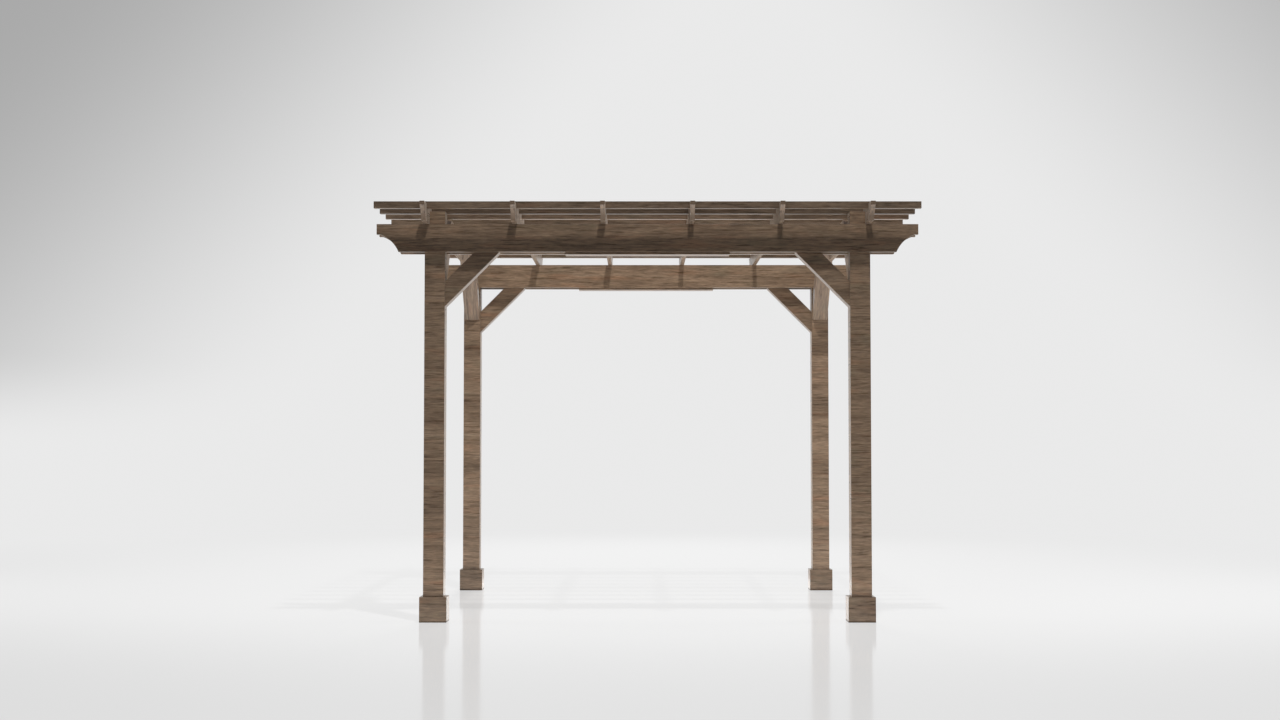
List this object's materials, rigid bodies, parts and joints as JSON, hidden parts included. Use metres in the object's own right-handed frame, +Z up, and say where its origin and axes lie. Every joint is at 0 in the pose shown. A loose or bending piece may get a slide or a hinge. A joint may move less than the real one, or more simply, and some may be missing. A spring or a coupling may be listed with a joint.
{
  "type": "timber garden pergola",
  "caption": "Square free-standing timber pergola with housed beam pairs, knee braces, coved rafters and slats.",
  "frame": {"origin": "on the ground, at the middle of the plan", "axes": "+Z up; +X along the beams, to the right of someone who faces the front; +Y along the rafters, from the front to the back"},
  "size_m": [3.658, 3.658, 2.812],
  "materials": {
    "post_wood": "dark brown penetrating stain, matt, with the grain showing",
    "brace_wood": "dark brown penetrating stain, matt, with the grain showing",
    "beam_wood": "dark brown penetrating stain, matt, with the grain showing",
    "roof_wood": "dark brown penetrating stain, matt, with the grain showing"
  },
  "bodies": {
    "root": {"front_left_post": "post_wood", "front_left_foot_faces": "post_wood", "front_left_foot_sides": "post_wood", "front_left_cross_brace": "brace_wood", "front_left_depth_brace": "brace_wood", "front_right_post": "post_wood", "front_right_foot_faces": "post_wood", "front_right_foot_sides": "post_wood", "front_right_cross_brace": "brace_wood", "front_right_depth_brace": "brace_wood", "front_outer_beam": "beam_wood", "front_inner_beam": "beam_wood", "front_splice_plate": "beam_wood", "back_left_post": "post_wood", "back_left_foot_faces": "post_wood", "back_left_foot_sides": "post_wood", "back_left_cross_brace": "brace_wood", "back_left_depth_brace": "brace_wood", "back_right_post": "post_wood", "back_right_foot_faces": "post_wood", "back_right_foot_sides": "post_wood", "back_right_cross_brace": "brace_wood", "back_right_depth_brace": "brace_wood", "back_outer_beam": "beam_wood", "back_inner_beam": "beam_wood", "back_splice_plate": "beam_wood", "rafter_1": "roof_wood", "rafter_2": "roof_wood", "rafter_3": "roof_wood", "rafter_4": "roof_wood", "rafter_5": "roof_wood", "rafter_6": "roof_wood", "slat_01": "roof_wood", "slat_02": "roof_wood", "slat_03": "roof_wood", "slat_04": "roof_wood", "slat_05": "roof_wood", "slat_06": "roof_wood", "slat_07": "roof_wood", "slat_08": "roof_wood", "slat_09": "roof_wood", "slat_10": "roof_wood", "slat_11": "roof_wood", "slat_12": "roof_wood"}
  },
  "joints": []
}
